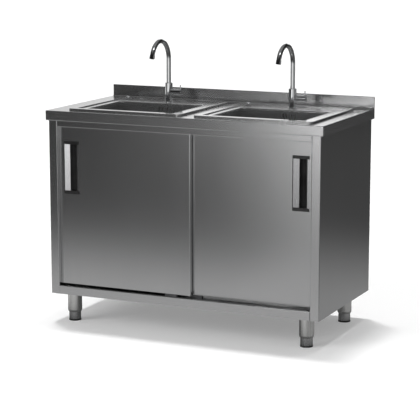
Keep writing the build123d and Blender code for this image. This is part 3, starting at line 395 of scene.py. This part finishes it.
def level_sheet(name, half, height):
    """A square sheet at one height, from -half to half both ways."""
    corners = ((-half, -half), (half, -half), (half, half), (-half, half))
    return panel(name, [(x, y, height) for x, y in corners])


def seen_directly(tree):
    """1 for rays that show the background itself: camera, mirror and glass rays."""
    path = tree.nodes.new("ShaderNodeLightPath")
    first = worked(tree, "MAXIMUM", path.outputs["Is Camera Ray"], path.outputs["Is Glossy Ray"])
    return worked(tree, "MAXIMUM", first, path.outputs["Is Transmission Ray"])


floor_lift = 0.23
floor = level_sheet("floor", half=40.0, height=-0.0003)
floor_paint, floor_tree, floor_shader, _ = new_material("floor_paint")
floor_shader.inputs["Base Color"].default_value = (0.8, 0.8, 0.8, 1)
floor_shader.inputs["Roughness"].default_value = 0.9
floor_shader.inputs["Specular IOR Level"].default_value = 0.0
floor_shader.inputs["Emission Color"].default_value = (1, 1, 1, 1)
feed(
    floor_tree,
    floor_shader.inputs["Emission Strength"],
    worked(floor_tree, "MULTIPLY", seen_directly(floor_tree), floor_lift),
)
floor.data.materials.append(floor_paint)

surround_light, surround_white = 0.36, 1.0
world = bpy.data.worlds.new("studio")
world.use_nodes = True
scene.world = world
sky = world.node_tree
backdrop = sky.nodes["Background"]
backdrop.inputs["Color"].default_value = (1, 1, 1, 1)
ambient = ranged(sky, seen_directly(sky), WHOLE_SPAN, (surround_light, surround_white))
feed(sky, backdrop.inputs["Strength"], ambient)


def sun(name, energy, spread, rotation):
    """A sun lamp of some spread in degrees, which isn't seen in the steel itself."""
    light = bpy.data.lights.new(name, "SUN")
    light.energy = energy
    light.angle = math.radians(spread)
    made = bpy.data.objects.new(name, light)
    made.rotation_euler = rotation
    made.visible_glossy = False
    scene.collection.objects.link(made)


overhead_tilt = math.radians(-7.5)
for turn in (-11, -9, -7, -4, 4):
    sun("overhead", energy=0.4, spread=5, rotation=(overhead_tilt, math.radians(turn), 0))
fill_direction = Vector((0.57, 0.68, -0.47))
sun("fill", energy=1.0, spread=30, rotation=fill_direction.to_track_quat("-Z", "Y").to_euler())


def mirror_only(made, glow_of, sampling="NONE"):
    """Makes a studio piece glow by a function of its position, in reflections alone."""
    paint = bpy.data.materials.new(made.name)
    paint.use_nodes = True
    tree = paint.node_tree
    tree.nodes.remove(tree.nodes["Principled BSDF"])
    position = tree.nodes.new("ShaderNodeTexCoord").outputs["Object"]
    place = add_node(tree, "ShaderNodeSeparateXYZ", Vector=position)
    x, y, z = (place.outputs[axis] for axis in "XYZ")
    glow = add_node(tree, "ShaderNodeEmission", Color=(1, 1, 1, 1), Strength=glow_of(tree, x, y, z))
    feed(tree, tree.nodes["Material Output"].inputs["Surface"], glow.outputs[0])
    paint.cycles.emission_sampling = sampling
    made.data.materials.append(paint)
    made.visible_camera = False
    made.visible_diffuse = False
    made.visible_shadow = False
    made.visible_transmission = False


FADE_IN, FADE_OUT = (0.0, 1.0), (1.0, 0.0)
GREY_LEVEL = 0.5
WHITE_LEVEL = 1.1


def product(tree, first, *others):
    """Levels multiplied together."""
    for other in others:
        first = worked(tree, "MULTIPLY", first, other)
    return first


def brightest(tree, first, *others):
    """The highest of some levels."""
    for other in others:
        first = worked(tree, "MAXIMUM", first, other)
    return first


def eased(tree, value, span, levels):
    """The first level below a span, the second above it, and a smooth step between them."""
    return ranged(tree, value, span, levels, "SMOOTHSTEP")


def between(tree, angle, rising, falling, level=1.0):
    """Level between two angles in degrees, each with a soft edge given as (from, to), and 0 outside."""
    rise = tuple(math.radians(edge) for edge in rising)
    fall = tuple(math.radians(edge) for edge in falling)
    return product(tree, eased(tree, angle, rise, (0.0, level)), eased(tree, angle, fall, FADE_OUT))


def turns(tree, x, y):
    """The angle to the right of straight ahead, and the angle to the left of straight behind."""
    ahead = worked(tree, "ARCTAN2", x, worked(tree, "MULTIPLY", y, -1.0))
    behind = worked(tree, "ARCTAN2", worked(tree, "MULTIPLY", x, -1.0), y)
    return ahead, behind


def floor_glow(tree, x, y, z):
    """Lit floor round the cabinet, with a painted shadow under and next to the cabinet, that fades into the
    dark, and grows bright again towards the openings.
    """
    half_length, half_depth = 0.6, 0.3
    beyond_x = worked(tree, "SUBTRACT", worked(tree, "ABSOLUTE", x), half_length)
    beyond_y = worked(tree, "SUBTRACT", worked(tree, "ABSOLUTE", y), half_depth)
    beyond = brightest(tree, beyond_x, beyond_y)
    # Painted shadow: the glow drops under and next to the cabinet, where the real floor lies in its shadow.
    painted_shadow = eased(tree, beyond, span=(-0.1, 0.35), levels=(0.08, 0.5))
    fading = eased(tree, beyond, span=(0.5, 2.1), levels=(1.0, 0.1))
    right = eased(tree, beyond, span=(-0.1, 2.1), levels=(0.33, 0.07))
    side = eased(tree, x, span=(0.5, 0.8), levels=FADE_IN)
    lit = add_node(tree, "ShaderNodeMix", Factor=side, A=product(tree, painted_shadow, fading), B=right)
    ahead, behind = turns(tree, x, y)
    white = brightest(
        tree,
        between(tree, ahead, rising=(-18.5, -12.5), falling=(7, 22)),
        between(tree, ahead, rising=(-10, 0), falling=(54, 68), level=GREY_LEVEL),
        between(tree, behind, rising=(2, 9), falling=(118, 128), level=GREY_LEVEL),
    )
    far = eased(tree, beyond, span=(0.8, 7.0), levels=(0.06, 1.06))
    middle = worked(tree, "ADD", between(tree, ahead, rising=(-10, -7), falling=(-4, 2), level=0.4), 1.0)
    near = product(
        tree,
        between(tree, ahead, rising=(-9, -5), falling=(6, 12), level=0.18),
        eased(tree, beyond, span=(0.5, 1.5), levels=FADE_IN),
        eased(tree, beyond, span=(2.4, 4.0), levels=FADE_OUT),
    )
    opening = product(tree, white, far, middle)
    return worked(tree, "ADD", brightest(tree, lit.outputs["Result"], opening), near)


def screen_glow(tree, x, y, z):
    """A dark screen with low pale openings in front and at the sides, white ones behind and a dim top."""
    ahead, behind = turns(tree, x, y)
    low = brightest(
        tree,
        between(tree, ahead, rising=(-21, -14.5), falling=(12, 26)),
        between(tree, ahead, rising=(-10, 0), falling=(54, 68), level=GREY_LEVEL),
        between(tree, behind, rising=(40, 60), falling=(118, 128), level=GREY_LEVEL),
    )
    low = product(tree, low, eased(tree, z, span=(1.2, 2.2), levels=(WHITE_LEVEL, 0.0)))
    dimming = tuple(math.radians(edge) for edge in (25, 32))
    left_white = product(
        tree,
        between(tree, behind, rising=(2, 9), falling=(50, 64)),
        eased(tree, behind, span=dimming, levels=(1.0, 0.72)),
        eased(tree, z, span=(5.2, 6.2), levels=(WHITE_LEVEL, 0.0)),
    )
    high_white = product(
        tree,
        between(tree, behind, rising=(-16, -8), falling=(10, 20)),
        eased(tree, z, span=(1.6, 2.6), levels=(0.0, WHITE_LEVEL)),
        eased(tree, z, span=(3.4, 4.4), levels=FADE_OUT),
    )
    right_grey = product(
        tree,
        between(tree, ahead, rising=(70, 85), falling=(122, 136), level=0.3),
        eased(tree, z, span=(2.2, 3.2), levels=FADE_OUT),
    )
    ceiling = eased(tree, z, span=(4.5, 7.5), levels=(0.015, 0.2))
    return brightest(tree, left_white, high_white, low, right_grey, ceiling)


def strip_glow(tree, x, y, z):
    """A strip lamp low in front, brightest at its middle."""
    ahead, _ = turns(tree, x, y)
    return product(
        tree,
        between(tree, ahead, rising=(-21, -13), falling=(-10, -4), level=11.5),
        eased(tree, z, span=(0.5, 0.9), levels=FADE_IN),
        eased(tree, z, span=(1.0, 1.8), levels=FADE_OUT),
    )


def lamp_glow(tree, x, y, z):
    """A small lamp overhead, a little brighter along its upper edge."""
    return eased(tree, z, span=(5.5, 5.9), levels=(4.0, 5.0))


def dome(name, radius):
    """A half globe: rings of points at even steps of height angle and turn."""
    rings, spokes = 24, 96
    rise = np.linspace(0.0, np.pi / 2, rings)[:, None]
    turn = np.linspace(0.0, 2 * np.pi, spokes, endpoint=False)[None, :]
    grid = np.stack(
        [
            radius * np.cos(rise) * np.cos(turn),
            radius * np.cos(rise) * np.sin(turn),
            radius * np.sin(rise) * np.ones_like(turn),
        ],
        axis=-1,
    )
    corner = np.arange(rings - 1)[:, None] * spokes + np.arange(spokes)[None, :]
    along = np.arange(rings - 1)[:, None] * spokes + (np.arange(spokes)[None, :] + 1) % spokes
    faces = np.stack([corner, along, along + spokes, corner + spokes], axis=-1)
    return stage_mesh(name, grid.reshape(-1, 3).tolist(), faces.reshape(-1, 4).tolist())


mirror_only(level_sheet("floor_mirror", half=8.5, height=0.002), floor_glow)
mirror_only(dome("screen", radius=8.0), screen_glow)
lamp_corners = [(1.5, -2.7, 5.7), (2.8, -2.7, 5.7), (2.8, -1.5, 5.9), (1.5, -1.5, 5.9)]
mirror_only(panel("small_lamp", lamp_corners), lamp_glow, "AUTO")
strip_corners = [(-2.95, -7.3, 0.5), (-0.5, -7.3, 0.5), (-0.5, -7.3, 1.8), (-2.95, -7.3, 1.8)]
mirror_only(panel("strip_lamp", strip_corners), strip_glow, "AUTO")

# Camera: a long lens from the front right, at the photograph's height and distance.
# It looks down a little, so that the object stays in the middle of the frame from every side.
image_pixels = 420
focal_pixels = 1629.24
camera_turn = math.radians(24.427)
camera_pitch = math.radians(10.436)
lens = bpy.data.cameras.new("camera")
lens.sensor_width = 36.0
lens.lens = focal_pixels / image_pixels * lens.sensor_width
lens.clip_end = 200.0
camera = bpy.data.objects.new("camera", lens)
camera.location = (2.72684, -6.01105, 1.67994)
camera.rotation_euler = (math.pi / 2 - camera_pitch, 0.0, camera_turn)
scene.collection.objects.link(camera)
scene.camera = camera
scene.view_settings.view_transform = "Standard"
